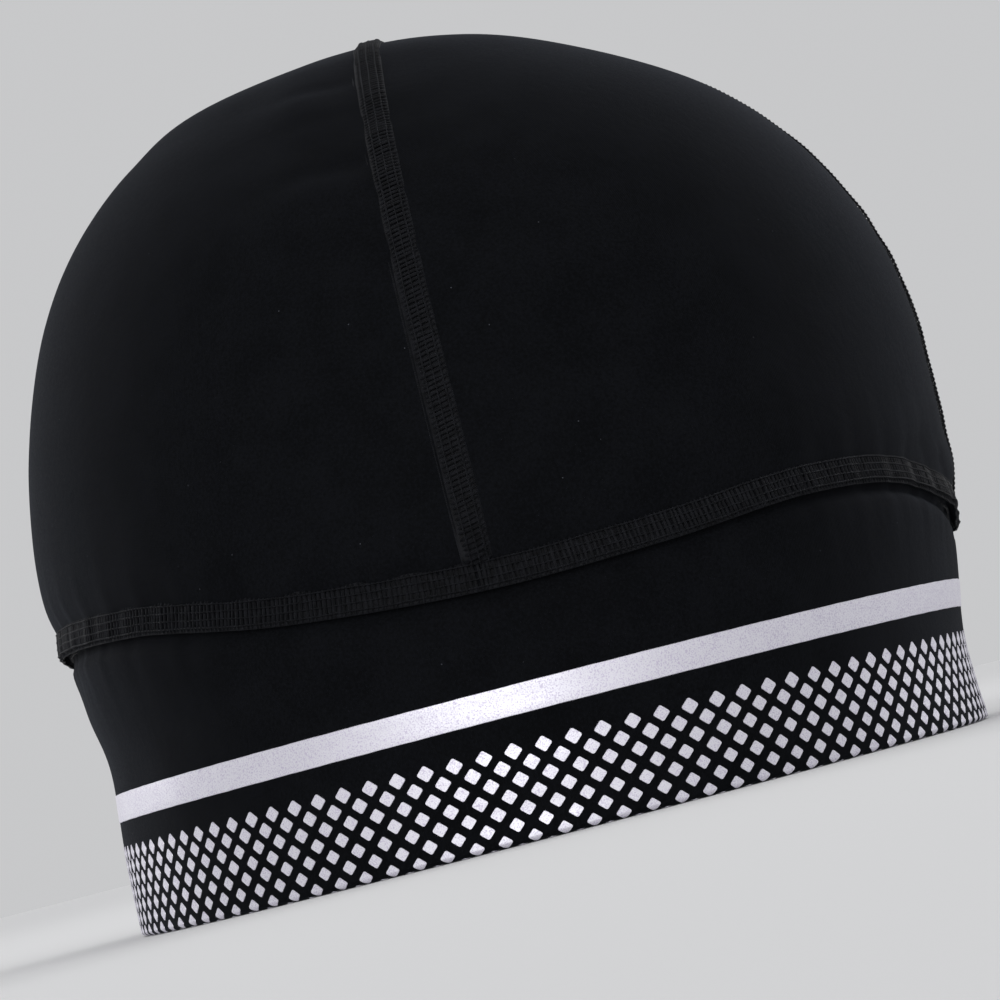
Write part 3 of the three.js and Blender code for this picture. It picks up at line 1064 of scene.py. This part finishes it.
@dataclass(frozen=True)
class SeamRoutes:
    """Works out the lines that the hat's seams follow on its form."""

    form: HatForm
    samples: int = 260
    finer: int = 4
    near_top: float = 8 * MM
    tuck: float = 0.9 * MM
    hem_lift: float = 0.9 * MM
    hem_step: float = 1.2 * MM

    def _rise(self, turn: float) -> float:
        """Place where a crown seam starts, tucked under the band seam."""
        height = self.form.band_line(np.array(turn)) + self.form.seam_width / 2 - self.tuck
        return float(self.form.place_at(height))

    def _upright(self, turn: float, places: np.ndarray, face: Face) -> tuple[np.ndarray, ...]:
        """Gives points, normals and sideways curvature of a line up the crown at a turn.

        Args:
            turn: the turn round the hat.
            places: places in the section table.
            face: the face of the cloth that the line lies on.

        Returns:
            The points, their normals and the curvature at each.
        """
        form = self.form
        offset = 0.0 if face is Face.OUTSIDE else -form.wall
        turns = np.full(len(places), turn)
        line = form.crown(turns, places, offset)
        normal = form.normal(turns, places)
        radius = form.radius(turns, places)
        spread = np.arcsin(np.clip(form.seam_width / 2 / np.maximum(radius, self.near_top), 0, 1))
        sides = [form.crown(turns + sign * spread, places, offset) for sign in (-1, 1)]
        drop = sum(((line - side) * normal).sum(axis=1) for side in sides) / 2
        across = np.maximum(radius * np.sin(spread), SMALLEST_SPAN)
        curve = 2 * drop / across**2
        low = radius > self.near_top
        curve = np.interp(places, places[low], curve[low])
        return line, normal * face.value, curve * face.value

    def over_top(self, face: Face) -> SeamPath:
        """Gives the line of the seam from the band's front over the top to its back.

        Args:
            face: the face of the cloth that the line lies on.

        Returns:
            The line.
        """
        form = self.form
        halves = []
        for turn in (0.0, math.pi):
            places = np.linspace(self._rise(turn), form.top, self.samples)
            halves.append(self._upright(turn, places, face))
        front, back = halves
        joined_columns = [np.concatenate([first, second[-2::-1]]) for first, second in zip(front, back)]
        return SeamPath(*joined_columns)

    def side(self, turn: float, face: Face) -> SeamPath:
        """Gives the line of a seam from the band up to the seam over the top.

        Args:
            turn: the turn round the hat.
            face: the face of the cloth that the line lies on.

        Returns:
            The line.
        """
        places = np.linspace(self._rise(turn), self.form.top, self.finer * self.samples)
        radius = self.form.radius(np.full(len(places), turn), places)
        kept = places[radius > self.form.seam_width / 2 - self.tuck / 2]
        return SeamPath(*self._upright(turn, kept[::self.finer], face))

    def ring(
        self, height_at: Callable[[np.ndarray], np.ndarray], width: float, depth: float, face: Face
    ) -> SeamPath:
        """Gives a level line round the hat.

        Args:
            height_at: height of the line at each turn.
            width: width of the seam, over which the cloth's curve is measured.
            depth: how far inside the band's outer face the line lies.
            face: which face of the cloth it lies on.

        Returns:
            The closed line.
        """
        turn = np.linspace(0, 2 * math.pi, self.finer * self.samples, endpoint=False)
        height = height_at(turn)
        line = self.form.wall_point(turn, height, -depth)
        normal = self.form.normal(turn, self.form.place_at(height))
        normal = unit(normal * np.array([1.0, 1.0, 0.0]))
        sides = [self.form.wall_point(turn, height + sign * width / 2, -depth) for sign in (-1, 1)]
        drop = sum(((line - side) * normal).sum(axis=1) for side in sides) / 2
        return SeamPath(line, normal * face.value, 8 * drop / width**2 * face.value, closed=True)

    def join(self, face: Face) -> SeamPath:
        """Gives the line of the seam that closes the band at the back.

        Args:
            face: the face of the cloth that the line lies on.

        Returns:
            The line.
        """
        form = self.form
        top = form.band_line(np.array(math.pi)) - form.seam_width / 2 + self.tuck
        height = np.linspace(self.hem_lift, top, self.samples // 2)
        if face is Face.OUTSIDE:
            depth = 0.0 * height
        else:
            step = np.clip((height - form.hem_height) / self.hem_step, 0, 1)
            depth = form.wall + form.hem_layer * (1 - step)
        line = form.wall_point(np.array(math.pi), height, -depth)
        normal = np.tile([0.0, 1.0, 0.0], (len(height), 1)) * face.value
        return SeamPath(line, normal, np.full(len(height), face.value / form.half_length))


@dataclass
class FlatlockSeam:
    """A flat joined seam: a low padded strip, cross threads over it and needle threads along it."""

    name: str
    path: SeamPath
    width: float
    seed: int
    pitch: float = 0.86 * MM
    pitch_jitter: float = 0.06 * MM
    slant: float = 0.0
    slant_jitter: float = 0.03
    tilt: float = 0.0
    tilt_pivot: float = 0.2
    rise: float = 0.3 * MM
    edge_rise: float = 0.02 * MM
    groove: float = 0.0
    groove_place: float = -0.415
    groove_share: float = 0.035
    sink: float = 0.25 * MM
    station_step: float = 1.2 * MM
    top_points: int = 15
    base_shares: tuple = (0.46, 0.0, -0.46)
    thread: float = 0.3 * MM
    thread_range: tuple = (0.9, 1.1)
    needle_thread: float = 0.14 * MM
    needle_lift: float = 1.4
    needle_dip: float = 0.07 * MM
    needle_swell: float = 0.2
    needle_sides: int = 5
    needle_stations: int = 3
    sway: float = 0.04 * MM
    sway_length: float = 2.3 * MM
    sway_shift: float = 9.0
    needles: tuple = (-0.43, -0.15, 0.15, 0.43)
    rib_from: float = -0.49
    rib_to: float = 0.49
    rib_stations: int = 6
    rib_sides: int = 6
    rib_lift: float = 0.75
    rib_dive: float = 0.6
    rib_taper: float = 0.75
    rib_squareness: int = 6
    rib_jitter: float = 0.02 * MM
    nips: tuple = ()
    nip_depth: float = 0.14 * MM
    nip_reach: float = 1.6 * MM

    def spot(self, along: np.ndarray, across: np.ndarray, lift: np.ndarray) -> np.ndarray:
        """Gives points of the seam, tilted over the cloth and nipped in where it is gathered.

        Args:
            along: distances along the seam.
            across: distances to the side of its middle.
            lift: heights over the cloth.

        Returns:
            The points.
        """
        along, across, lift = np.broadcast_arrays(along, across, lift)
        line = self.path.at(along)[0]
        front = line[..., 1] < 0
        lift = lift + self.tilt * (across / self.width + self.tilt_pivot)
        for height in self.nips:
            nip = np.exp(-(((line[..., 2] - height) / self.nip_reach) ** 2)) * front
            lift = lift - self.nip_depth * nip
        return self.path.spot(along, across, lift)

    def dome(self, across: np.ndarray) -> np.ndarray:
        """Gives the height of the strip over the cloth.

        Args:
            across: distances from the strip's middle.

        Returns:
            The heights.
        """
        share = np.clip(np.abs(across) / (self.width / 2), 0, 1)
        groove = np.exp(-(((across / self.width - self.groove_place) / self.groove_share) ** 2))
        return self.edge_rise + (self.rise - self.edge_rise) * (1 - share**3) - self.groove * groove

    def strip(self) -> tuple[np.ndarray, list[np.ndarray], np.ndarray]:
        """Makes the padded strip of joined cloth edges.

        Returns:
            The points, the faces and a cloth coordinate for each point.
        """
        stations = int(self.path.length / self.station_step)
        along = np.linspace(0, self.path.length, stations, endpoint=not self.path.closed)
        top = np.linspace(-0.5, 0.5, self.top_points) * self.width
        base = np.array(self.base_shares) * self.width
        across = np.concatenate([top, base])
        lift = np.concatenate([self.dome(top), np.full(len(base), -self.sink)])
        return sweep(self.spot(along[:, None], across[None, :], lift[None, :]), self.path.closed)

    def ribs(self) -> tuple[np.ndarray, list[np.ndarray], np.ndarray]:
        """Makes the cross threads that give the seam its ladder look.

        Returns:
            The points, the faces and a cloth coordinate for each point.
        """
        rng = np.random.default_rng(self.seed)
        count = int(self.path.length / self.pitch)
        start = (np.arange(count) + 0.5) * self.path.length / count
        start = start + rng.normal(0, self.pitch_jitter, count)
        share = np.linspace(0, 1, self.rib_stations)
        across = (self.rib_from + (self.rib_to - self.rib_from) * share) * self.width
        lean = self.slant + rng.normal(0, self.slant_jitter, count)
        along = start[:, None] + across[None, :] * lean[:, None]
        inner = 1 - np.abs(2 * share - 1) ** self.rib_squareness
        lift = self.dome(across) + self.thread * (self.rib_lift * inner - self.rib_dive * (1 - inner))
        lift = lift[None, :] + rng.normal(0, self.rib_jitter, (count, 1))
        centre = self.spot(along, across[None, :], lift)
        _, tangent, normal, _, _ = self.path.at(along)
        taper = self.rib_taper + (1 - self.rib_taper) * inner
        radius = self.thread * taper[None, :] * rng.uniform(*self.thread_range, (count, 1))
        return tubes(centre, normal, -tangent, radius, self.rib_sides, closed=False)

    def needle_rows(self) -> list[tuple[np.ndarray, list[np.ndarray], np.ndarray]]:
        """Makes the needle threads that run along the seam and dip between the cross threads.

        Returns:
            The points, faces and cloth coordinates of each thread.
        """
        rows = []
        count = int(self.path.length / self.pitch)
        stations = count * self.needle_stations
        along = np.linspace(0, self.path.length, stations, endpoint=not self.path.closed)
        wave = np.cos(2 * math.pi * along * count / self.path.length - math.pi)
        for share in self.needles:
            across = share * self.width
            lift = self.dome(np.array(across)) + self.thread * self.needle_lift + self.needle_dip * wave
            sideways = across + self.sway * np.sin(along / self.sway_length + self.sway_shift * share)
            centre = self.spot(along, sideways, lift)[None]
            _, _, normal, side, _ = self.path.at(along)
            radius = self.needle_thread * (1 + self.needle_swell * wave)[None]
            thread = tubes(centre, normal[None], side[None], radius, self.needle_sides, self.path.closed)
            rows.append(thread)
        return rows

    def build(self) -> bpy.types.Object:
        """Makes the seam as one piece."""
        return add_piece(self.name, *joined([self.strip(), self.ribs(), *self.needle_rows()]))


@dataclass
class CrownPanels:
    """The four knit panels of the crown."""

    form: HatForm
    rows: int = 100
    columns: int = 100
    gap: float = 0.2 * MM
    edge_over_line: float = 0.4 * MM
    top_radius: float = 1.4 * MM
    top_samples: int = 500
    widest_gap: float = 0.5
    flat_size: tuple = (0.125, 0.130)
    flat_area: float = 0.0128

    def _grid(self, start: float) -> tuple[np.ndarray, np.ndarray]:
        """Gives turns and places of a panel's points from a starting turn.

        Args:
            start: the turn of the panel's first edge.

        Returns:
            The turns and the places in the section table.
        """
        share = np.linspace(0, 1, self.columns)[None, :]
        level = np.linspace(0, 1, self.rows)[:, None]
        base = start + share * math.pi / 2
        low = self.form.place_at(self.form.band_line(base) + self.edge_over_line)
        finer = np.linspace(self.form.top - 1, self.form.top, self.top_samples)
        radius = self.form.radius(np.full(len(finer), start + math.pi / 4), finer)
        high = np.interp(-self.top_radius, -radius, finer)
        place = low + (high - low) * level
        edges = []
        for edge in (start, start + math.pi / 2):
            reach = self.form.radius(np.full(place.shape, edge), place)
            edges.append(np.arcsin(np.clip(self.gap / reach, 0, self.widest_gap)))
        turn = start + edges[0] + share * (math.pi / 2 - edges[0] - edges[1])
        return turn, place

    def build(self, name: str, start: float) -> bpy.types.Object:
        """Makes one panel as a closed thin sheet with its cloth coordinates.

        Args:
            name: the piece's name.
            start: the turn of the panel's first edge.

        Returns:
            The panel.
        """
        turn, place = self._grid(start)
        outer = self.form.crown(turn, place)
        inner = self.form.crown(turn, place, -self.form.wall)
        points, faces = shell(outer, inner)
        middle = self.columns // 2
        steps = np.linalg.norm(np.diff(outer, axis=1), axis=-1)
        across = np.concatenate([np.zeros((self.rows, 1)), np.cumsum(steps, axis=1)], axis=1)
        across = across - across[:, middle:middle + 1]
        up = np.linalg.norm(np.diff(outer[:, middle], axis=0), axis=-1)
        up = np.concatenate([[0.0], np.cumsum(up)])[:, None]
        one = np.stack(np.broadcast_arrays(across, up), axis=-1).reshape(-1, 2)
        piece = add_piece(name, points, faces, np.concatenate([one, one]))
        return piece


@dataclass
class HemProfile:
    """The band's section near its fold: down the outer face, round the fold and up the inside."""

    form: HatForm
    fold_height: float = 0.95 * MM
    lift: float = 0.15 * MM
    samples: int = 200

    def __post_init__(self) -> None:
        """Measures along the rounded fold."""
        half = (self.form.wall + self.form.hem_layer) / 2
        angle = np.linspace(0, math.pi, self.samples)
        offset = -half + half * np.cos(angle)
        height = self.fold_height - (self.fold_height - self.lift) * np.sin(angle)
        steps = np.hypot(np.diff(offset), np.diff(height))
        self.angle = angle
        self.reach = np.concatenate([[0.0], np.cumsum(steps)])
        self.half = half

    @property
    def fold_length(self) -> float:
        """Length of cloth in the fold."""
        return float(self.reach[-1])

    def at(self, along: np.ndarray, lift: np.ndarray | float = 0.0) -> tuple[np.ndarray, np.ndarray]:
        """Gives the offset and the height of points on the section.

        Args:
            along: distance from the fold's outer end, less than zero up the outer face.
            lift: distance off the cloth.

        Returns:
            The offset from the outer face and the height.
        """
        angle = np.interp(along, self.reach, self.angle)
        out, down = np.cos(angle), np.sin(angle)
        offset = -self.half + self.half * out + lift * out
        height = self.fold_height - (self.fold_height - self.lift) * down - lift * down
        height = height + np.maximum(-along, 0) + np.maximum(along - self.fold_length, 0)
        return offset, height


@dataclass
class KnitBand:
    """The plain band with its lower edge folded up inside and the join left open for its seam."""

    form: HatForm
    profile: HemProfile
    columns: int = 480
    gap: float = 0.3 * MM
    outer_rows: int = 42
    fold_rows: int = 13
    inner_rows: int = 26
    hem_heights: tuple = (2 * MM, 3 * MM, 4.5 * MM, 6 * MM, 7.5 * MM)
    hem_bevel: float = 0.25 * MM
    edge_under_line: float = 0.4 * MM
    groove_depth: float = 1.15 * MM
    groove_drop: float = 3.4 * MM
    groove_reach: float = 1.05 * MM
    flat_size: tuple = (0.5, 0.055)

    def turns(self) -> np.ndarray:
        """Gives the turns of the band's columns, from the join right round to the join."""
        reach = self.gap / self.form.half_length
        return np.linspace(math.pi + reach, 3 * math.pi - reach, self.columns)

    def build(self) -> bpy.types.Object:
        """Makes the band as one closed piece.

        Returns:
            The band.
        """
        form, profile = self.form, self.profile
        turn = self.turns()[:, None]
        top = form.band_line(turn) - self.edge_under_line
        outer = top + (profile.fold_height - top) * np.linspace(0, 1, self.outer_rows)[None, :]
        fold_offset, fold_height = profile.at(np.linspace(0, profile.fold_length, self.fold_rows)[1:-1])
        hem_height = np.array([profile.fold_height, *self.hem_heights, form.hem_height - self.hem_bevel])
        hem_offset = np.full(len(hem_height), -form.wall - form.hem_layer)
        edge_height = np.array([form.hem_height + point.rise for point in HEM_EDGE])
        edge_offset = np.array([-form.wall - point.inward for point in HEM_EDGE])
        inner = edge_height[-1] + (top - edge_height[-1]) * np.linspace(0, 1, self.inner_rows)[None, 1:]
        fixed_height = np.concatenate([fold_height, hem_height, edge_height])[None, :]
        fixed_offset = np.concatenate([fold_offset, hem_offset, edge_offset])[None, :]
        heights = [outer, np.repeat(fixed_height, len(turn), axis=0), inner]
        offsets = [0 * outer, np.repeat(fixed_offset, len(turn), axis=0), 0 * inner - form.wall]
        height = np.concatenate(heights, axis=1)
        below = form.band_line(turn) - height - self.groove_drop
        groove = self.groove_depth * np.exp(-((below / self.groove_reach) ** 2))
        offset = np.concatenate(offsets, axis=1) - groove
        grid = form.wall_point(np.broadcast_to(turn, height.shape), height, offset)
        piece = add_piece("knit_band", *sweep(grid, closed=False))
        return piece


@dataclass
class FilmStripe:
    """The reflective stripe: a thin film just proud of the band, open at the band's join."""

    form: HatForm
    columns: int = 620
    thickness: float = 0.13 * MM
    sink: float = 0.08 * MM
    edge_wander: float = 0.015 * MM
    join_gap: float = 3.0 * MM
    top_shares: tuple = (1.0, 0.97, 0.75, 0.4, 0.0, -0.4, -0.75, -0.97, -1.0)
    top_lifts: tuple = (0.0, 0.8, 1.0, 1.0, 1.0, 1.0, 1.0, 0.8, 0.0)
    base_shares: tuple = (-0.97, 0.97)

    def build(self) -> bpy.types.Object:
        """Makes the stripe at the height and width of its solid.

        Returns:
            The stripe.
        """
        low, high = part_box("reflective_stripe")
        middle, half = (low[2] + high[2]) / 2, (high[2] - low[2]) / 2
        reach = self.join_gap / self.form.half_length
        turn = np.linspace(math.pi + reach, 3 * math.pi - reach, self.columns)[:, None]
        share = np.array([*self.top_shares, *self.base_shares])[None, :]
        base = np.full(len(self.base_shares), -self.sink)
        lift = np.concatenate([np.array(self.top_lifts) * self.thickness, base])[None, :]
        wander = self.edge_wander * ripples(FILM_WANDER, turn)
        height = middle + half * share + wander * np.sign(share)
        turn, lift = np.broadcast_to(turn, height.shape), np.broadcast_to(lift, height.shape)
        grid = self.form.wall_point(turn, height, lift)
        piece = add_piece("film_stripe", *sweep(grid, closed=False))
        piece.data.set_sharp_from_angle(angle=FILM_EDGE)
        return piece


@dataclass
class DiamondPrint:
    """Staggered rows of small rounded diamonds from under the stripe, round the fold and up inside."""

    form: HatForm
    profile: HemProfile
    top_row: float = 14.8 * MM
    row_step: float = 2.3 * MM
    pitch: float = 4.9 * MM
    rows: int = 9
    small_row: int = 6
    large: float = 1.43 * MM
    small: float = 1.24 * MM
    size_range: tuple = (0.97, 1.03)
    place_jitter: float = 0.03 * MM
    flatness: float = 0.93
    corner: float = 0.24
    corner_steps: int = 4
    side_steps: int = 4
    plain_rings: tuple = (1.0, 0.94, 0.5)
    fold_rings: tuple = (1.0, 0.94, 0.72, 0.48, 0.24)
    thickness: float = 0.1 * MM
    sink: float = 0.05 * MM
    join_gap: float = 3.6 * MM
    join_margin: float = 0.1 * MM
    measured_row: int = 3
    samples: int = 2000
    seed: int = 11

    def _turns(self) -> tuple[np.ndarray, np.ndarray]:
        """Measures round the hem, at the height of a middle row.

        Returns:
            Turns round the hem and the distance along it to each, from the back join.
        """
        turn = np.linspace(math.pi, 3 * math.pi, self.samples)
        line = self.form.wall_point(turn, np.full(len(turn), self.row_step * self.measured_row), 0.0)
        steps = np.linalg.norm(np.diff(line, axis=0), axis=1)
        return turn, np.concatenate([[0.0], np.cumsum(steps)])

    def _outline(self, fine: bool) -> np.ndarray:
        """Gives the outline of a square on its corner, with rounded corners, for a half diagonal of one.

        Args:
            fine: whether its straight sides have points of their own, so that they can bend over the fold.

        Returns:
            The points of the outline.
        """
        tips = np.arange(4)[:, None] * math.pi / 2
        angle = tips + np.linspace(-math.pi / 4, math.pi / 4, self.corner_steps)[None, :]
        reach = 1 - self.corner * math.sqrt(2)
        across = reach * np.cos(tips) + self.corner * np.cos(angle)
        down = reach * np.sin(tips) + self.corner * np.sin(angle)
        arcs = np.stack([across, down], axis=-1) / (reach + self.corner)
        if fine:
            share = np.linspace(0, 1, self.side_steps + 1)[None, 1:-1, None]
            sides = arcs[:, -1:] * (1 - share) + np.roll(arcs, -1, axis=0)[:, :1] * share
            arcs = np.concatenate([arcs, sides], axis=1)
        return arcs.reshape(-1, 2)

    def _one(self, fine: bool) -> tuple[np.ndarray, np.ndarray, list[np.ndarray]]:
        """Gives the flat points, lifts and faces of one diamond of half diagonal one.

        Args:
            fine: whether it has enough points to bend over the fold.

        Returns:
            The points on the cloth, their lifts, and the faces with four and with three corners.
        """
        outline = self._outline(fine)
        shares = self.fold_rings if fine else self.plain_rings
        count, rings = len(outline), len(shares)
        flat = np.concatenate([outline * share for share in shares] + [np.zeros((2, 2))])
        lift = np.full(len(flat), self.thickness)
        lift[:count] = lift[-1] = -self.sink
        step = np.arange(count)
        after = (step + 1) % count
        starts = np.arange(rings - 1)[:, None] * count
        corners = [starts + after, starts + step, starts + count + step, starts + count + after]
        quads = np.stack(corners, axis=-1).reshape(-1, 4)
        last, middle = (rings - 1) * count, rings * count
        top = np.stack([last + after, last + step, np.full(count, middle)], axis=1)
        bottom = np.stack([step, after, np.full(count, middle + 1)], axis=1)
        return flat, lift, [quads, np.concatenate([top, bottom])]

    def build(self) -> bpy.types.Object:
        """Makes all the diamonds as one piece.

        Returns:
            The print.
        """
        rng = np.random.default_rng(self.seed)
        turn, reach = self._turns()
        length = reach[-1] - 2 * self.join_gap
        columns = int(round(length / self.pitch))
        step = length / columns
        first = self.profile.fold_height - self.top_row
        points, faces, uv, start = [], [], [], 0
        for row in range(self.rows):
            level = first + row * self.row_step
            over_fold = -self.large < level < self.profile.fold_length + self.large
            flat, lift, one = self._one(over_fold)
            shift = 0.5 if row % 2 else 0.0
            middle = self.join_gap + (np.arange(columns + 1) + shift) * step
            middle = middle[middle < reach[-1] - self.join_gap + self.join_margin]
            middle = middle + rng.normal(0, self.place_jitter, len(middle))
            size = self.large + (self.small - self.large) * min(row / self.small_row, 1)
            size = size * rng.uniform(*self.size_range, (len(middle), 1))
            across = middle[:, None] + flat[None, :, 0] * size
            along = level + flat[None, :, 1] * size * self.flatness
            offset, height = self.profile.at(along, lift[None, :])
            turns = np.interp(across, reach, turn)
            points.append(self.form.wall_point(turns, height, offset).reshape(-1, 3))
            uv.append(np.stack([across, along], axis=-1).reshape(-1, 2))
            numbers = (start + np.arange(len(middle)) * len(flat))[:, None, None]
            faces.extend((part[None] + numbers).reshape(-1, part.shape[1]) for part in one)
            start += len(middle) * len(flat)
        piece = add_piece("diamond_print", np.concatenate(points), faces, np.concatenate(uv))
        piece.data.set_sharp_from_angle(angle=FILM_EDGE)
        return piece


class SeamName(Enum):
    """The flatlock seams, by the start of their pieces' names."""

    TOP = "top_seam"
    LEFT = "left_side_seam"
    RIGHT = "right_side_seam"
    RING = "ring_seam"
    JOIN = "join_seam"


class SeamPlan(NamedTuple):
    """What is special about one seam: the solid that it stands for, its slant and its own looks."""

    seam: SeamName
    solid: str
    slant: float
    look: dict


SEAM_PLANS = (
    SeamPlan(SeamName.TOP, "front_back_seam", 0.22, {
        "rib_from": -0.38,
        "rib_to": 0.49,
        "needles": (-0.2, 0.05, 0.31),
        "groove": 0.22 * MM,
        "nips": (0.1375, 0.1225, 0.1085, 0.0990),
    }),
    SeamPlan(SeamName.LEFT, "left_seam", 0.15, {}),
    SeamPlan(SeamName.RIGHT, "right_seam", 0.15, {}),
    SeamPlan(SeamName.RING, "band_seam", 0.03, {
        "tilt": 0.8 * MM,
        "needles": (-0.35, -0.12, 0.12, 0.35),
    }),
    SeamPlan(SeamName.JOIN, "band_join_seam", 0.1, {}),
)


@dataclass(frozen=True)
class Beanie:
    """Builds and dresses the whole hat in order."""

    form: HatForm
    wardrobe: Wardrobe
    inside_needles: tuple = (-0.4, 0.4)
    inside_seeds: int = 50
    cover_needles: tuple = (-0.4, 0.0, 0.4)
    cover_rise: float = 0.16 * MM
    cover_from: float = 3 * MM
    cover_seed: int = 77

    def _route(self, seam: SeamName, face: Face) -> SeamPath:
        """Gives the line that a seam follows.

        Args:
            seam: the seam.
            face: the face of the cloth that it lies on.

        Returns:
            The line.
        """
        routes, form = SeamRoutes(self.form), self.form
        if seam is SeamName.TOP:
            return routes.over_top(face)
        if seam is SeamName.JOIN:
            return routes.join(face)
        if seam is SeamName.RING:
            depth = 0.0 if face is Face.OUTSIDE else form.wall
            return routes.ring(form.band_line, form.seam_width, depth, face)
        return routes.side(-math.pi / 2 if seam is SeamName.LEFT else math.pi / 2, face)

    def crown(self) -> None:
        """Builds the four panels."""
        panels = CrownPanels(self.form)
        quarter = math.pi / 2
        starts = {"front_right": 0, "back_right": 1, "back_left": 2, "front_left": -1}
        for place, quarters in starts.items():
            piece = panels.build(f"knit_{place}", quarters * quarter)
            self.wardrobe.dress(piece, Finish.JERSEY, f"crown_{place}")

    def seams(self) -> None:
        """Builds the seams, on both faces of the cloth."""
        width = self.form.seam_width
        for number, plan in enumerate(SEAM_PLANS):
            name = plan.seam.value
            line = self._route(plan.seam, Face.OUTSIDE)
            seam = FlatlockSeam(f"{name}_outside", line, width, seed=number, slant=plan.slant, **plan.look)
            self.wardrobe.dress(seam.build(), Finish.THREAD, plan.solid)
            line = self._route(plan.seam, Face.INSIDE)
            seam = FlatlockSeam(
                f"{name}_inside", line, width, seed=number + self.inside_seeds, slant=plan.slant,
                needles=self.inside_needles, rib_stations=5, rib_sides=5,
            )
            self.wardrobe.dress(seam.build(), Finish.THREAD)

    def band(self) -> None:
        """Builds the band, its hem stitching and its print."""
        form, profile = self.form, HemProfile(self.form)
        self.wardrobe.dress(KnitBand(form, profile).build(), Finish.JERSEY, "band")
        depth = form.wall + form.hem_layer
        width = form.hem_height - self.cover_from
        middle = form.hem_height - width / 2
        line = SeamRoutes(form).ring(lambda turn: np.full(len(turn), middle), width, depth, Face.INSIDE)
        cover = FlatlockSeam(
            "hem_cover_stitch", line, width, seed=self.cover_seed, needles=self.cover_needles,
            rise=self.cover_rise, rib_stations=5, rib_sides=4,
        )
        self.wardrobe.dress(cover.build(), Finish.THREAD)
        self.wardrobe.dress(FilmStripe(form).build(), Finish.FILM, "reflective_stripe")
        self.wardrobe.dress(DiamondPrint(form, profile).build(), Finish.FILM)

    def build(self) -> None:
        """Builds everything."""
        self.crown()
        self.seams()
        self.band()


@dataclass(frozen=True)
class SoftLight:
    """A soft studio light aimed at the hat."""

    name: str
    place: tuple
    power: float

    def _lamp(self) -> bpy.types.Light:
        """Makes the lamp."""
        raise NotImplementedError

    def build(self, target: Vector) -> None:
        """Adds the light, out of the camera's sight.

        Args:
            target: what it is aimed at.
        """
        light = bpy.data.objects.new(self.name, self._lamp())
        light.location = self.place
        light.rotation_euler = (Vector(self.place) - target).to_track_quat("Z", "Y").to_euler()
        light.visible_camera = False
        bpy.context.scene.collection.objects.link(light)


@dataclass(frozen=True)
class Softbox(SoftLight):
    """A rectangular soft box."""

    size: tuple = (0.5, 0.5)

    def _lamp(self) -> bpy.types.Light:
        """Makes the lamp.

        Returns:
            The lamp.
        """
        lamp = bpy.data.lights.new(self.name, "AREA")
        lamp.shape = "RECTANGLE"
        lamp.size, lamp.size_y = self.size
        lamp.energy = self.power
        return lamp


@dataclass(frozen=True)
class WideLight(SoftLight):
    """A broad even light from far off, which lights the floor evenly too."""

    spread: float = 24.0

    def _lamp(self) -> bpy.types.Light:
        """Makes the lamp.

        Returns:
            The lamp.
        """
        lamp = bpy.data.lights.new(self.name, "SUN")
        lamp.angle = math.radians(self.spread)
        lamp.energy = self.power
        return lamp


STUDIO_LIGHTS = (
    WideLight("key", (-0.25, -1.6, 0.5), 1.75),
    WideLight("left_rim", (-1.3, 1.1, 0.6), 0.55),
    WideLight("right_rim", (1.3, 1.1, 0.6), 0.55),
    Softbox("top", (0.0, 0.4, 1.5), 3.0, (0.9, 0.9)),
)


@dataclass(frozen=True)
class Studio:
    """Pale floor, soft light and the photograph's view of the hat."""

    azimuth: float = 2.5
    roll: float = -14.5
    distance: float = 0.85
    eye_height: float = 0.010
    target: tuple = (0.00155, 0.0, 0.0597)
    scale: float = 5.57 / MM
    picture: float = 1000.0
    sensor: float = 36.0
    clip: tuple = (0.05, 100.0)
    floor_size: float = 30.0
    sky: tuple = (0.93, 0.935, 0.95, 1)
    sky_strength: float = 0.62
    light_target: tuple = (0.0, 0.0, 0.07)

    def floor(self) -> None:
        """Adds the floor."""
        half = self.floor_size / 2
        points = [(-half, -half, 0), (half, -half, 0), (half, half, 0), (-half, half, 0)]
        mesh = bpy.data.meshes.new("studio_floor")
        mesh.from_pydata(points, [], [(0, 1, 2, 3)])
        floor = bpy.data.objects.new("studio_floor", mesh)
        floor.data.materials.append(StudioPaper().material())
        bpy.context.scene.collection.objects.link(floor)

    def camera(self) -> None:
        """Adds the camera at the photograph's turn and roll, just over the floor."""
        target = Vector(self.target)
        turn = math.radians(self.azimuth)
        place = target + self.distance * Vector((math.sin(turn), -math.cos(turn), 0))
        place.z = self.eye_height
        data = bpy.data.cameras.new("photo_camera")
        data.sensor_width = self.sensor
        data.lens = self.scale * self.distance * data.sensor_width / self.picture
        data.clip_start, data.clip_end = self.clip
        camera = bpy.data.objects.new("photo_camera", data)
        camera.location = place
        aim = (place - target).to_track_quat("Z", "Y")
        camera.rotation_mode = "QUATERNION"
        camera.rotation_quaternion = aim @ Quaternion((0, 0, 1), math.radians(self.roll))
        bpy.context.scene.collection.objects.link(camera)
        bpy.context.scene.camera = camera

    def lights(self) -> None:
        """Adds the sky and the lights."""
        world = bpy.data.worlds.new("studio_sky")
        world.use_nodes = True
        background = world.node_tree.nodes["Background"]
        background.inputs["Color"].default_value = self.sky
        background.inputs["Strength"].default_value = self.sky_strength
        bpy.context.scene.world = world
        bpy.context.scene.view_settings.view_transform = "Standard"
        for light in STUDIO_LIGHTS:
            light.build(Vector(self.light_target))

    def build(self) -> None:
        """Sets up the whole studio."""
        self.camera()
        self.floor()
        self.lights()


def main() -> None:
    """Sets up the studio and builds the hat."""
    logging.basicConfig(level=logging.INFO, format="%(name)s %(message)s")
    Studio().build()
    form = HatForm.from_frame()
    log.info("form %s", form)
    Beanie(form, Wardrobe()).build()


if __name__ == "__main__":
    main()
